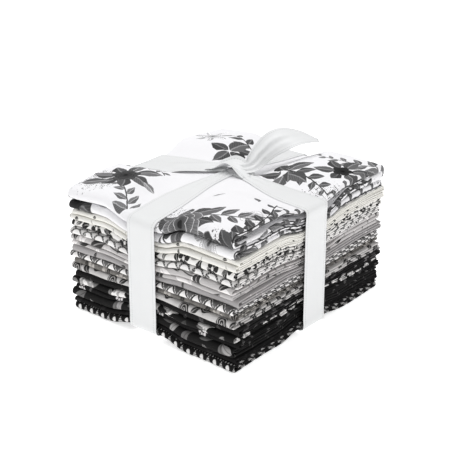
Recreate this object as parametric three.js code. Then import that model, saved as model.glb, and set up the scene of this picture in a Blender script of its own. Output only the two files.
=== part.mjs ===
// A bundle of sixteen folded fat quarters of printed quilting cotton, tied both ways round with a
// satin ribbon. Millimetres, +Z up, origin under the middle of the bundle, on the surface it lies on.
// -Y shows the folds of the cloth, +X shows the edges of its layers.
import * as THREE from "three";

// A fat quarter is 457 by 533 mm. Most are folded in four along their length, which makes a strip of
// four plies, and the strip is folded in three. A turned one has its length along Y instead, folded
// back and forth in three and a half layers.
const FOLDED = { wide: 133.4, deep: 152.4 };
const STACK_HEIGHT = 84;
const PIECE_GAP = 0.3;
const LAYER_GAP = 0.35;
const THIN_PIECE = { upTo: 3.7, layerGap: 0.2 };
const FLAP_SHORT_OF_FOLD = 1.6;
// layer and the pitches are shares of a turned piece's thickness. Its layers lie tight where the
// turned-under end is between them, and spread to fill the piece beyond it.
const TURNED = {
  layer: 0.18,
  lowPitch: 0.21,
  highPitch: 0.38,
  overhang: 0.4,
  lowEndShort: 3,
  turnedUnder: 75,
  tightTo: 14,
  looseFrom: 40,
};
const TOP_END_SHORT = 1;

// The stations that all pieces share, so that neighbours follow each other's bends.
const ACROSS = [-50, -17, 8, 44];
const ALONG = [-60, -40, -12, 13, 40, 60];

// Where the ribbon runs: lengthwise at x, crosswise at y.
const RIBBON = { width: 22, thick: 1, x: -4.6, y: 0.3, clear: 0.45, neck: 10 };

// What the ribbon does to the stack. Heights are from the height of the corners.
const GROOVE = { halfWidth: 11.6, side: 22 };
const TOP_MIDDLE = 2.5;
const TOP_EDGE = { minusY: -3.5, plusY: -3.5, plusX: 0.2, minusX: -3.5 };
const UNDER_MIDDLE = 2.9;
const UNDER_EDGE = { minusY: 4.6, plusY: 3.6, plusX: 2.6, minusX: 3 };
// How far each quarter of the top stands up between the runs, and the shares of that which its edges
// and its corner keep.
const PUFF = {
  left: { high: 7, edge: 0.6, corner: 0 },
  front: { high: 6.5, edge: 1, corner: 1 },
  right: { high: 8, edge: 0.6, corner: 1 },
  back: { high: 5.5, edge: 0.6, corner: 0 },
};
const PUFF_CORNER = 32;
const SIDE_PINCH = 0.01;
// Powers: how late the ribbon's press changes towards an edge, and how soon each bend fades with
// height in the stack.
const PRESS_CURVE = 1.7;
const TOP_FADE = 1.8;
const UNDER_FADE = 2;
// How far inside its ends a piece starts to shift, along X and Y, and how near a fold a station may be.
const SHIFT_REACH = { x: 15, y: 8 };
const STATION_MARGIN = 2;

// From the top piece down. thick is the piece's height in the stack, right and back are how far its
// +X and +Y ends stand out, left and fold the same for -X and -Y, and skew turns the ends a little.
const PIECES = [
  { thick: 14.5, right: 1.2, back: 1.0, left: 0.4, fold: 0.6, skew: 0.6, turned: true, colour: 0xf4f2ef },
  { thick: 3.4, right: 2.0, back: 1.6, left: -0.6, fold: -0.9, skew: -0.5, colour: 0xf3efe4 },
  { thick: 3.4, right: 1.4, back: 0.9, left: 0.8, fold: 0.3, skew: 0.4, colour: 0xf5f1e6 },
  { thick: 5.2, right: 0.2, back: 1.4, left: -0.4, fold: -0.3, skew: 0.9, colour: 0xdcdad6 },
  { thick: 4.2, right: 0.9, back: -0.5, left: 0.9, fold: 0.8, skew: -0.7, colour: 0xe4e2df },
  { thick: 7.0, right: -0.6, back: 0.3, left: -0.8, fold: 1.1, skew: 0.5, turned: true, colour: 0xb7b3b1 },
  { thick: 5.0, right: 0.7, back: 1.2, left: 0.5, fold: -0.2, skew: -0.9, colour: 0xa9a5a4 },
  { thick: 4.3, right: 0.1, back: -0.9, left: 1.2, fold: 0.7, skew: 0.7, colour: 0xbab7b5 },
  { thick: 3.8, right: -0.9, back: 0.6, left: -0.3, fold: -0.6, skew: -0.4, colour: 0x6f6a66 },
  { thick: 4.5, right: 0.5, back: -0.7, left: 0.2, fold: 0.9, skew: 0.8, colour: 0x8f8b88 },
  { thick: 5.0, right: 1.3, back: 1.5, left: -1.0, fold: -0.8, skew: -0.6, colour: 0x2d2b2c },
  { thick: 4.3, right: -0.2, back: 0.1, left: 0.9, fold: 0.4, skew: 0.3, colour: 0x8b8988 },
  { thick: 3.6, right: 0.8, back: 1.1, left: -0.5, fold: -1.0, skew: -0.8, colour: 0x2a2829 },
  { thick: 6.0, right: -0.5, back: -0.4, left: 0.7, fold: 0.8, skew: 0.6, colour: 0x353334 },
  { thick: 3.5, right: 0.4, back: 0.8, left: 0.1, fold: -0.4, skew: -0.3, colour: 0x1d1c1d },
  { thick: 5.5, right: 0.0, back: 0.2, left: -0.2, fold: 0.5, skew: 0.4, colour: 0x2c2b2c },
];

// Stops along one half of a run of ribbon: on top from the knot out as shares, round a corner in
// degrees, and under the stack in towards the middle.
const RUN = {
  topStops: [0, 0.3, 0.62, 1],
  widens: 1.25,
  cornerStops: [0, 35, 65, 90],
  underStops: [58, 46, 14],
};
// The flat stretch of the crosswise run on the surface, and where it has come up to the stack.
const UNDERLAY = { flatTo: 47, risesOver: 12 };
// The knot lies a little to +X +Y of where the runs would cross, and draws them over to it.
const KNOT = {
  x: 1.6,
  y: 6.7,
  draws: 55,
  clear: 6.5,
  long: 21,
  across: 15,
  high: 7,
  lift: -0.75,
  waist: 0.22,
  waistSpread: 0.35,
  turn: 30,
};

// The ribbon's two free ends, from the knot outwards, measured from the knot's middle. Heights are
// from the top of the arm under the knot, and tilt is the angle of the strip's near edge above its
// far edge.
const TAILS = {
  tail_right: [
    { x: 10.7, y: 5.0, z: 3.3, tilt: -38, width: 11 },
    { x: 12.7, y: 14.4, z: 9.3, tilt: -54, width: 14 },
    { x: 13.9, y: 26, z: 13.6, tilt: -44, width: 17 },
    { x: 18, y: 37.5, z: 15.6, tilt: -23, width: 19 },
    { x: 22.3, y: 48.5, z: 13.7, tilt: -11, width: 17 },
    { x: 27, y: 56.5, z: 10.1, tilt: -5, width: 8 },
  ],
  tail_left: [
    { x: -11.6, y: -3.3, z: 0.9, tilt: 0, width: 11 },
    { x: -21, y: -6, z: 0.6, tilt: 0, width: 14 },
    { x: -33, y: -8, z: -0.3, tilt: 0, width: 17 },
    { x: -45, y: -9, z: -1.3, tilt: 0, width: 19 },
    { x: -55, y: -9, z: -2.4, tilt: 0, width: 19 },
    { x: -62, y: -9.5, z: -3.2, tilt: 0, width: 18 },
  ],
};

const half = { wide: FOLDED.wide / 2, deep: FOLDED.deep / 2 };
const knotAt = { x: RIBBON.x + KNOT.x, y: RIBBON.y + KNOT.y };
const looseHeight = PIECES.reduce((sum, piece) => sum + piece.thick, 0);

const clamp = (t) => Math.min(1, Math.max(0, t));
const smooth = (t) => clamp(t) ** 2 * (3 - 2 * clamp(t));
const mix = (a, b, t) => a + (b - a) * t;

// 1 under a run of ribbon and 0 away from it.
const under = (distance) => 1 - smooth((distance - GROOVE.halfWidth) / GROOVE.side);

// The height that the two runs of ribbon give a surface, each from its middle to the stack's edge.
function pressed(x, y, middle, edge) {
  const lengthwise = under(Math.abs(x - RIBBON.x));
  const crosswise = under(Math.abs(y - RIBBON.y));
  const most = Math.max(lengthwise, crosswise);
  if (most === 0) return 0;
  const fromMiddleX = (Math.abs(x - RIBBON.x) / half.wide) ** PRESS_CURVE;
  const fromMiddleY = (Math.abs(y - RIBBON.y) / half.deep) ** PRESS_CURVE;
  const alongX = mix(middle, x < RIBBON.x ? edge.minusX : edge.plusX, fromMiddleX);
  const alongY = mix(middle, y < RIBBON.y ? edge.minusY : edge.plusY, fromMiddleY);
  return (most * (lengthwise * alongY + crosswise * alongX)) / (lengthwise + crosswise);
}

// How far the top stands up at a point between the runs of ribbon.
function puff(x, y) {
  const lower = x < RIBBON.x ? PUFF.left : PUFF.front;
  const upper = x < RIBBON.x ? PUFF.back : PUFF.right;
  const quarter = y < RIBBON.y ? lower : upper;
  const fromX = clamp((half.wide - Math.abs(x)) / PUFF_CORNER);
  const fromY = clamp((half.deep - Math.abs(y)) / PUFF_CORNER);
  const corner = 1 - (1 - quarter.corner) * (1 - fromX) * (1 - fromY);
  const edge = mix(quarter.edge, 1, smooth(Math.min(fromX, fromY)));
  const clear = (1 - under(Math.abs(x - RIBBON.x))) * (1 - under(Math.abs(y - RIBBON.y)));
  return quarter.high * corner * edge * clear;
}

const topRise = (x, y) => pressed(x, y, TOP_MIDDLE, TOP_EDGE) + puff(x, y);
const underRise = (x, y) => pressed(x, y, UNDER_MIDDLE, UNDER_EDGE);

// A point of the loose, flat stack moved to where it lies in the tied one.
function tied(x, y, z) {
  const share = clamp(z / looseHeight);
  const lift = underRise(x, y) * (1 - share) ** UNDER_FADE + topRise(x, y) * share ** TOP_FADE;
  return new THREE.Vector3(
    x * (1 - SIDE_PINCH * under(Math.abs(y - RIBBON.y))),
    y * (1 - SIDE_PINCH * under(Math.abs(x - RIBBON.x))),
    share * STACK_HEIGHT + lift,
  );
}

// The points of one flat layer from y to y, without its two ends. at gives each its height and the
// layer's thickness there.
function run(from, to, at) {
  const low = Math.min(from, to) + STATION_MARGIN;
  const high = Math.max(from, to) - STATION_MARGIN;
  const inside = ALONG.filter((y) => y > low && y < high).map((y) => [y, ...at(y)]);
  return from < to ? inside : inside.reverse();
}

// A half turn about (y, z), from one degree of angle to the other.
function turn(y, z, radius, from, to, steps, layer) {
  return Array.from({ length: steps + 1 }, (_, i) => {
    const angle = THREE.MathUtils.degToRad(mix(from, to, i / steps));
    return [y + radius * Math.cos(angle), z + radius * Math.sin(angle), layer];
  });
}

// The middle line of a piece folded in three, with one end inside the big fold at -Y. Each point is
// [y, z, thickness of the layer].
function letterFold(z, layer, gap) {
  const pitch = layer + gap;
  const [low, mid, high] = [0, 1, 2].map((i) => z + layer / 2 + i * pitch);
  const bigFold = -half.deep + layer / 2 + pitch;
  const smallFold = half.deep - layer / 2 - pitch / 2;
  const flapEnd = bigFold + FLAP_SHORT_OF_FOLD;
  const topEnd = half.deep - TOP_END_SHORT;
  return [
    [flapEnd, mid, layer],
    ...run(flapEnd, smallFold, () => [mid, layer]),
    ...turn(smallFold, (low + mid) / 2, pitch / 2, 90, -90, 2, layer),
    ...run(smallFold, bigFold, () => [low, layer]),
    ...turn(bigFold, mid, pitch, -90, -270, 4, layer),
    ...run(bigFold, topEnd, () => [high, layer]),
    [topEnd, high, layer],
  ];
}

// The middle line of a piece folded back and forth, with the end of its top layer turned under.
function turnedFold(z, thick, tight) {
  const loose = (thick - 2 * LAYER_GAP) / 3;
  const spread = (y) => smooth((y - TURNED.tightTo) / (TURNED.looseFrom - TURNED.tightTo));
  const layer = (y) => mix(tight, loose, spread(y));
  const low = (y) => z + layer(y) / 2;
  const mid = (y) => mix(low(y) + thick * TURNED.lowPitch, z + thick / 2, spread(y));
  const high = (y) => z + thick - layer(y) / 2;
  const highPitch = thick * TURNED.highPitch;
  const start = half.deep - TURNED.lowEndShort;
  const front = -half.deep;
  const back = half.deep;
  const lowRadius = (mid(front) - low(front)) / 2;
  const backRadius = (high(back) - mid(back)) / 2;
  const lowFold = front + tight / 2 + lowRadius;
  const backFold = back - loose / 2 - backRadius;
  const roll = front + tight / 2 + highPitch / 2 - TURNED.overhang;
  const endOfTurn = roll + TURNED.turnedUnder;
  const under = high(front) - highPitch;
  return [
    [start, low(start), layer(start)],
    ...run(start, lowFold, (y) => [low(y), layer(y)]),
    ...turn(lowFold, (low(front) + mid(front)) / 2, lowRadius, -90, -270, 2, tight),
    ...run(lowFold, backFold, (y) => [mid(y), layer(y)]),
    ...turn(backFold, (mid(back) + high(back)) / 2, backRadius, -90, 90, 4, loose),
    ...run(backFold, roll, (y) => [high(y), layer(y)]),
    ...turn(roll, high(front) - highPitch / 2, highPitch / 2, 90, 270, 4, tight),
    ...run(roll, endOfTurn, () => [under, tight]),
    [endOfTurn, under, tight],
  ];
}

// Left and right of a line of points, at half the cloth's thickness.
function thicken(line) {
  const sides = [[], []];
  line.forEach(([y, z, layer], i) => {
    const [ay, az] = line[Math.max(0, i - 1)];
    const [by, bz] = line[Math.min(line.length - 1, i + 1)];
    const length = Math.hypot(by - ay, bz - az);
    const normal = [-(bz - az) / length, (by - ay) / length];
    sides[0].push([y + (normal[0] * layer) / 2, z + (normal[1] * layer) / 2]);
    sides[1].push([y - (normal[0] * layer) / 2, z - (normal[1] * layer) / 2]);
  });
  return sides;
}

// Two triangles for the rectangle a b c d. Their shared side always rises towards +X +Y, so that
// neighbouring pieces bend alike.
function quad(faces, a, b, c, d, towardsY) {
  if (towardsY) faces.push(a, b, c, a, c, d);
  else faces.push(a, b, d, b, c, d);
}

function closedMesh(points, faces) {
  const geometry = new THREE.BufferGeometry();
  const numbers = points.flatMap((p) => [p.x, p.y, p.z]);
  geometry.setAttribute("position", new THREE.Float32BufferAttribute(numbers, 3));
  geometry.setIndex(faces);
  geometry.computeVertexNormals();
  return geometry;
}

// Moves the ends of a piece by its own small amounts, and leaves the shared stations alone.
function shifted(piece, x, y) {
  const nearX = clamp((Math.abs(x) - ACROSS.at(-1)) / SHIFT_REACH.x);
  const nearY = clamp((Math.abs(y) - ALONG.at(-1)) / SHIFT_REACH.y);
  const outX = x > 0 ? piece.right : -piece.left;
  const outY = y > 0 ? piece.back : -piece.fold;
  return [
    x + nearX * (outX + (piece.skew * y) / half.deep),
    y + nearY * (outY - (piece.skew * x) / half.wide),
  ];
}

// A folded piece: its section swept along X through the shared stations, then tied.
function foldedPiece(piece, z) {
  const thick = piece.thick - PIECE_GAP;
  const gap = piece.thick < THIN_PIECE.upTo ? THIN_PIECE.layerGap : LAYER_GAP;
  const layer = piece.turned ? thick * TURNED.layer : (thick - 2 * gap) / 3;
  const line = piece.turned ? turnedFold(z, thick, layer) : letterFold(z, layer, gap);
  const [left, right] = thicken(line);
  const loop = [...right, ...left.reverse()];
  const stations = [-half.wide, ...ACROSS, half.wide];
  const points = stations.flatMap((x) => loop.map(([y, height]) => tied(...shifted(piece, x, y), height)));
  const faces = [];
  for (let i = 0; i + 1 < stations.length; i++)
    for (let j = 0; j < loop.length; j++) {
      const next = (j + 1) % loop.length;
      const [here, onward] = [i * loop.length, (i + 1) * loop.length];
      quad(faces, here + j, here + next, onward + next, onward + j, loop[next][0] > loop[j][0]);
    }
  const end = (stations.length - 1) * loop.length;
  for (let j = 0; j + 1 < line.length; j++) {
    const other = loop.length - 1 - j;
    faces.push(j, other, other - 1, j, other - 1, j + 1);
    faces.push(end + j, end + j + 1, end + other - 1, end + j, end + other - 1, end + other);
  }
  return closedMesh(points, faces);
}

// A flat strip through stations that each give its place, the direction across it and its width.
function strip(stations) {
  const corners = [[-1, -1], [1, -1], [1, 1], [-1, 1]];
  const points = stations.flatMap(({ at, across, width }, i) => {
    const before = stations[Math.max(0, i - 1)].at;
    const after = stations[Math.min(stations.length - 1, i + 1)].at;
    const out = new THREE.Vector3().crossVectors(across, after.clone().sub(before)).normalize();
    return corners.map(([side, face]) =>
      at.clone().addScaledVector(across, (side * width) / 2).addScaledVector(out, (face * RIBBON.thick) / 2),
    );
  });
  const faces = [0, 1, 2, 0, 2, 3];
  for (let i = 0; i + 1 < stations.length; i++)
    for (let k = 0; k < 4; k++) {
      const [a, b] = [4 * i + k, 4 * i + ((k + 1) % 4)];
      faces.push(a, b + 4, b, a, a + 4, b + 4);
    }
  const end = 4 * (stations.length - 1);
  faces.push(end, end + 2, end + 1, end, end + 3, end + 2);
  return closedMesh(points, faces);
}

// The two neighbours of a value in a rising list, and how far it is from the first to the second.
function between(list, value) {
  const held = THREE.MathUtils.clamp(value, list[0], list.at(-1));
  const i = Math.min(list.length - 2, Math.max(0, list.findLastIndex((s) => s <= held)));
  return [list[i], list[i + 1], (held - list[i]) / (list[i + 1] - list[i])];
}

// The height of the tied stack's top at a point, as the pieces' shared stations give it.
function topAt(x, y) {
  const [x0, x1, u] = between([-half.wide, ...ACROSS, half.wide], x);
  const [y0, y1, v] = between([-half.deep, ...ALONG, half.deep], y);
  const front = mix(topRise(x0, y0), topRise(x1, y0), u);
  const back = mix(topRise(x0, y1), topRise(x1, y1), u);
  return STACK_HEIGHT + mix(front, back, v);
}

// One end of a run of ribbon: from beside the knot over the top, down a side of the stack and under
// it towards the middle. Each point is [distance along the run's own axis, height, width].
function halfRun(run, sign) {
  const sideFace = run.reach * (1 - SIDE_PINCH) + run.proud;
  const topEnd = run.reach - run.corner;
  const beside = run.knot + sign * KNOT.clear;
  const onTop = RUN.topStops.map((t) => {
    const s = mix(beside, sign * topEnd, t);
    const width = mix(RIBBON.neck, RIBBON.width, smooth(t * RUN.widens));
    return [s, run.top(s) + RIBBON.clear + RIBBON.thick / 2, width];
  });
  const high = onTop.at(-1)[1];
  const low = run.under(sign * run.reach);
  const quarter = (fromS, toS, fromZ, toZ, roundFirst) =>
    RUN.cornerStops.map((angle) => {
      const turned = THREE.MathUtils.degToRad(angle);
      const [rising, lagging] = [Math.sin(turned), 1 - Math.cos(turned)];
      const [a, b] = roundFirst ? [rising, lagging] : [lagging, rising];
      return [sign * mix(fromS, toS, a), mix(fromZ, toZ, b), RIBBON.width];
    });
  return [
    ...onTop,
    ...quarter(topEnd, sideFace, high, high - run.corner, true),
    [sign * sideFace, mix(high, low, 0.5), RIBBON.width],
    ...quarter(sideFace, run.reach - run.lowCorner, low + run.lowCorner, low, false),
    ...RUN.underStops.map((s) => [sign * s, run.under(sign * s), RIBBON.width]),
  ];
}

function band(run) {
  const path = [...halfRun(run, -1), ...halfRun(run, 1).reverse()];
  return strip(
    path.map(([s, z, width]) => ({ at: run.place(s, z, z > STACK_HEIGHT / 2), across: run.across, width })),
  );
}

// How far the knot draws a run over, by the distance from it.
const drawn = (distance) => 1 - smooth(Math.abs(distance) / KNOT.draws);
const middleX = (y) => RIBBON.x + KNOT.x * drawn(y - knotAt.y);
const middleY = (x) => RIBBON.y + KNOT.y * drawn(x - knotAt.x);

const lengthwise = {
  knot: knotAt.y,
  reach: half.deep,
  proud: 2.5,
  corner: 4.5,
  lowCorner: 4,
  across: new THREE.Vector3(-1, 0, 0),
  place: (y, z, onTop) => new THREE.Vector3(onTop ? middleX(y) : RIBBON.x, y, z),
  top: (y) => topAt(middleX(y), y),
  under: (y) => underRise(RIBBON.x, y) - RIBBON.clear - RIBBON.thick / 2,
};
const crosswise = {
  knot: knotAt.x,
  reach: half.wide,
  proud: 3.0,
  corner: 1.6,
  lowCorner: 1.6,
  across: new THREE.Vector3(0, 1, 0),
  place: (x, z, onTop) => new THREE.Vector3(x, onTop ? middleY(x) : RIBBON.y, z),
  top: (x) => topAt(x, middleY(x)),
  under: (x) => {
    const hugging = underRise(x, RIBBON.y) - RIBBON.clear - RIBBON.thick / 2;
    return mix(RIBBON.thick / 2, hugging, smooth((Math.abs(x) - UNDERLAY.flatTo) / UNDERLAY.risesOver));
  },
};

// The flat knot where the four runs meet.
function knot() {
  const geometry = new THREE.SphereGeometry(1, 16, 10);
  geometry.rotateX(Math.PI / 2);
  const position = geometry.attributes.position;
  for (let i = 0; i < position.count; i++) {
    const [x, y, z] = [position.getX(i), position.getY(i), position.getZ(i)];
    const waist = 1 - KNOT.waist * Math.exp(-((x / KNOT.waistSpread) ** 2)) * Math.abs(y);
    position.setXYZ(i, (x * KNOT.long) / 2, (y * waist * KNOT.across) / 2, (z * KNOT.high) / 2);
  }
  geometry.rotateZ(THREE.MathUtils.degToRad(KNOT.turn));
  const base = topAt(knotAt.x, knotAt.y) + RIBBON.clear + RIBBON.thick + KNOT.lift;
  geometry.translate(knotAt.x, knotAt.y, base + KNOT.high / 2);
  return geometry;
}

function tail(rows) {
  const base = topAt(RIBBON.x, RIBBON.y) + RIBBON.clear + RIBBON.thick;
  const middle = rows.map((row) => new THREE.Vector3(knotAt.x + row.x, knotAt.y + row.y, base + row.z));
  const stations = rows.map(({ tilt, width }, i) => {
    const ahead = middle[Math.min(rows.length - 1, i + 1)].clone().sub(middle[Math.max(0, i - 1)]);
    const level = new THREE.Vector3(-ahead.y, ahead.x, 0).normalize();
    const across = level.applyAxisAngle(ahead.normalize(), -THREE.MathUtils.degToRad(tilt));
    return { at: middle[i], across, width };
  });
  return strip(stations);
}

const cotton = (colour) => new THREE.MeshStandardMaterial({ color: colour, roughness: 0.85, metalness: 0 });
const satin = () => new THREE.MeshStandardMaterial({ color: 0xf3f4f2, roughness: 0.42, metalness: 0 });

const bundle = new THREE.Group();
function add(name, geometry, material) {
  const mesh = new THREE.Mesh(geometry, material);
  mesh.name = name;
  bundle.add(mesh);
}

let floorOfPiece = looseHeight;
PIECES.forEach((piece, i) => {
  floorOfPiece -= piece.thick;
  const name = `fat_quarter_${String(i + 1).padStart(2, "0")}`;
  add(name, foldedPiece(piece, floorOfPiece), cotton(piece.colour));
});
add("ribbon_lengthwise", band(lengthwise), satin());
add("ribbon_crosswise", band(crosswise), satin());
add("ribbon_knot", knot(), satin());
for (const [name, rows] of Object.entries(TAILS)) add(`ribbon_${name}`, tail(rows), satin());

export default bundle;
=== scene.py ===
import math
from functools import partialmethod

import bpy
import numpy as np
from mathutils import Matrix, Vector


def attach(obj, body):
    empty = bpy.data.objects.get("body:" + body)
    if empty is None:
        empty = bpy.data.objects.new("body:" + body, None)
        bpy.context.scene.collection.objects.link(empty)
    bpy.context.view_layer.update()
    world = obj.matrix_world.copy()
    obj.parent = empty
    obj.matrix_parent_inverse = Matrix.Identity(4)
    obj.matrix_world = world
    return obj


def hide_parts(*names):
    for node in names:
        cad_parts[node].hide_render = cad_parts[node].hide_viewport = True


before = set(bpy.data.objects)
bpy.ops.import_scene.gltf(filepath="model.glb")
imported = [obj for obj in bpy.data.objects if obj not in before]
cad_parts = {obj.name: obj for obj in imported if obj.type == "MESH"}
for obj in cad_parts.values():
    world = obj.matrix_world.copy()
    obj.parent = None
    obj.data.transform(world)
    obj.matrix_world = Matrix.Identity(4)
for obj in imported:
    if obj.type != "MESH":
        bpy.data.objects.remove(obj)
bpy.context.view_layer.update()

# A bundle of sixteen folded fat quarters tied with a satin ribbon. Sizes are in millimetres, and a mesh
# or a place is made in metres from them at the end. -Y shows the folds, +X the edges of the layers.
MM = 0.001

# The camera. Angles are in degrees, and the focal length is in pixels of the 450 pixel picture.
PICTURE = 450
FOCAL_PIXELS = 1282.7
SENSOR = 36
CAMERA = {"place": (0.4817, -0.58968, 0.38426), "azimuth": 39.415, "elevation": 23.581}

# The folded stack, as the solids have it.
FOLDED = {"wide": 133.4, "deep": 152.4}
CLOTH = {"width": 457, "length": 533, "thick": 0.22}
STACK_HEIGHT = 84
PIECE_GAP = 0.3
LAYER_GAP = 0.35
THIN_PIECE = {"up_to": 3.7, "layer_gap": 0.2}
FLAP_SHORT_OF_FOLD = 1.6
TURNED = {
    "layer": 0.18,
    "low_pitch": 0.21,
    "high_pitch": 0.38,
    "overhang": 0.4,
    "low_end_short": 3,
    "turned_under": 75,
    "tight_to": 14,
    "loose_from": 40,
}
TOP_END_SHORT = 1
QUARTER_END_SHORT = 0.4
RIBBON ={"width": 22, "x": -4.6, "y": 0.3, "neck": 10, "thick": 0.36}
GROOVE = {"half_width": 11.6, "side": 22}
TOP_MIDDLE = 2.5
TOP_EDGE = {"minus_y": -3.5, "plus_y": -3.5, "plus_x": 0.2, "minus_x": -3.5}
UNDER_MIDDLE = 2.9
UNDER_EDGE = {"minus_y": 4.6, "plus_y": 3.6, "plus_x": 2.6, "minus_x": 3}
# How far each quarter of the top stands up, and the shares of that which its edges and corner keep.
PUFF = {
    "left": {"high": 7, "edge": 0.6, "corner": 0},
    "front": {"high": 6.5, "edge": 1, "corner": 1},
    "right": {"high": 8, "edge": 0.6, "corner": 1},
    "back": {"high": 5.5, "edge": 0.6, "corner": 0},
}
PUFF_CORNER = 32
SIDE_PINCH = 0.01
PRESS_CURVE = 1.7
TOP_FADE = 1.8
UNDER_FADE = 2
SHIFT_FROM = {"x": 44, "y": 60}
SHIFT_REACH = {"x": 15, "y": 8}

# From the top piece down: height in the stack, how far the ends at +X, +Y, -X and the folds at -Y stand
# out, and the ends' skew.
PIECE_COLUMNS = ("thick", "right", "back", "left", "fold", "skew")
PIECE_ROWS = [
    (14.5, 1.2, 1, 0.4, 0.6, 0.6),
    (3.4, 2, 1.6, -0.6, -0.9, -0.5),
    (3.4, 1.4, 0.9, 0.8, 0.3, 0.4),
    (5.2, 0.2, 1.4, -0.4, -0.3, 0.9),
    (4.2, 0.9, -0.5, 0.9, 0.8, -0.7),
    (7, -0.6, 0.3, -0.8, 1.1, 0.5),
    (5, 0.7, 1.2, 0.5, -0.2, -0.9),
    (4.3, 0.1, -0.9, 1.2, 0.7, 0.7),
    (3.8, -0.9, 0.6, -0.3, -0.6, -0.4),
    (4.5, 0.5, -0.7, 0.2, 0.9, 0.8),
    (5, 1.3, 1.5, -1, -0.8, -0.6),
    (4.3, -0.2, 0.1, 0.9, 0.4, 0.3),
    (3.6, 0.8, 1.1, -0.5, -1, -0.8),
    (6, -0.5, -0.4, 0.7, 0.8, 0.6),
    (3.5, 0.4, 0.8, 0.1, -0.4, -0.3),
    (5.5, 0, 0.2, -0.2, 0.5, 0.4),
]
PIECES = [dict(zip(PIECE_COLUMNS, row)) for row in PIECE_ROWS]
TURNED_PIECES = (1, 6)

HALF = {"wide": FOLDED["wide"] / 2, "deep": FOLDED["deep"] / 2}
LOOSE_HEIGHT = sum(piece["thick"] for piece in PIECES)

# How uneven the folded cloth is.
FOLD_WAVE = {"size": 0.45, "length": 47}
EDGE_WAVE = {"size": 0.5, "length": 61}
PLY_WAVE = {"size": 0.35, "length": 90}
LUMPS = 0.45

# How the meshes are made: points along each stretch, how far a cut edge is turned back, the air left
# in a layer, and how much closer the points lie at a stretch's ends.
STRETCH_POINTS = {"top piece": 46, "others": 26}
RIM = {"back": 1.5, "most_of_ply": 0.6}
LAYER_AIR = 0.1
CLOSER_AT_ENDS = 0.55


def smooth(t):
    t = np.clip(t, 0, 1)
    return t * t * (3 - 2 * t)


def mix(a, b, t):
    return a + (b - a) * t


def wave(t, seed):
    """An uneven wave of about -1 to 1 with no repeat that shows. One turn of t is one wavelength."""
    turn = 2 * math.pi * t
    return 0.5 * np.sin(turn + 1.7 * seed) + 0.3 * np.sin(1.61 * turn + 2.9 * seed + 1) + 0.2 * np.sin(
        2.73 * turn + 4.3 * seed
    )


# What the ribbon does to the stack.
def under(distance):
    return 1 - smooth((distance - GROOVE["half_width"]) / GROOVE["side"])


def pressed(x, y, middle, edge):
    lengthwise = under(np.abs(x - RIBBON["x"]))
    crosswise = under(np.abs(y - RIBBON["y"]))
    most = np.maximum(lengthwise, crosswise)
    from_middle_x = (np.abs(x - RIBBON["x"]) / HALF["wide"]) ** PRESS_CURVE
    from_middle_y = (np.abs(y - RIBBON["y"]) / HALF["deep"]) ** PRESS_CURVE
    along_x = mix(middle, np.where(x < RIBBON["x"], edge["minus_x"], edge["plus_x"]), from_middle_x)
    along_y = mix(middle, np.where(y < RIBBON["y"], edge["minus_y"], edge["plus_y"]), from_middle_y)
    total = np.maximum(lengthwise + crosswise, 1e-9)
    return most * (lengthwise * along_y + crosswise * along_x) / total


def puff(x, y):
    def share(key):
        lower = np.where(x < RIBBON["x"], PUFF["left"][key], PUFF["front"][key])
        upper = np.where(x < RIBBON["x"], PUFF["back"][key], PUFF["right"][key])
        return np.where(y < RIBBON["y"], lower, upper)

    from_x = np.clip((HALF["wide"] - np.abs(x)) / PUFF_CORNER, 0, 1)
    from_y = np.clip((HALF["deep"] - np.abs(y)) / PUFF_CORNER, 0, 1)
    corner = 1 - (1 - share("corner")) * (1 - from_x) * (1 - from_y)
    edge = mix(share("edge"), 1, smooth(np.minimum(from_x, from_y)))
    clear = (1 - under(np.abs(x - RIBBON["x"]))) * (1 - under(np.abs(y - RIBBON["y"])))
    return share("high") * corner * edge * clear


def top_rise(x, y):
    return pressed(x, y, TOP_MIDDLE, TOP_EDGE) + puff(x, y)


def under_rise(x, y):
    return pressed(x, y, UNDER_MIDDLE, UNDER_EDGE)


def lumps(x, y, share):
    """Slow unevenness that all the pieces share, so that no two meet. It is nothing at the bottom."""
    along_x = np.sin(x / 17 + 3.1 * share + 0.6) * np.cos(y / 29 - 1.3 * share)
    along_y = np.sin(y / 14 - 2.3 * share + 2.2) * np.cos(x / 33 + 1.9 * share)
    return LUMPS * (along_x + along_y) * np.sqrt(share)


def tied(x, y, z):
    """Where a point of the loose, flat stack lies in the tied one."""
    share = np.clip(z / LOOSE_HEIGHT, 0, 1)
    lift = under_rise(x, y) * (1 - share) ** UNDER_FADE + top_rise(x, y) * share**TOP_FADE
    return (
        x * (1 - SIDE_PINCH * under(np.abs(y - RIBBON["y"]))),
        y * (1 - SIDE_PINCH * under(np.abs(x - RIBBON["x"]))),
        share * STACK_HEIGHT + lift + lumps(x, y, share),
    )


# Lines in a plane, as lists of points. A stretch or an arc leaves out its last point, where the next one
# starts.
def flat(start, end, height, count):
    """A level stretch, or one whose height is a function of the place along it."""
    t = np.linspace(0, 1, count, endpoint=False)
    at = mix(start, end, mix(t, smooth(t), CLOSER_AT_ENDS))
    return np.stack([at, height(at) if callable(height) else np.full(count, float(height))], 1)


def arc(centre, height, radius, first, last, count):
    angle = np.radians(np.linspace(first, last, count, endpoint=False))
    return np.stack([centre + radius * np.cos(angle), height + radius * np.sin(angle)], 1)


def measured(line):
    """How far along a line each of its points is."""
    return np.concatenate([[0], np.cumsum(np.linalg.norm(np.diff(line, axis=0), axis=1))])


def unit(vectors):
    return vectors / np.linalg.norm(vectors, axis=1)[:, None]


def normals(line):
    """The direction to the left of a line in a plane, at each of its points."""
    ahead = unit(np.gradient(line, axis=0))
    return np.stack([-ahead[:, 1], ahead[:, 0]], 1)


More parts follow.
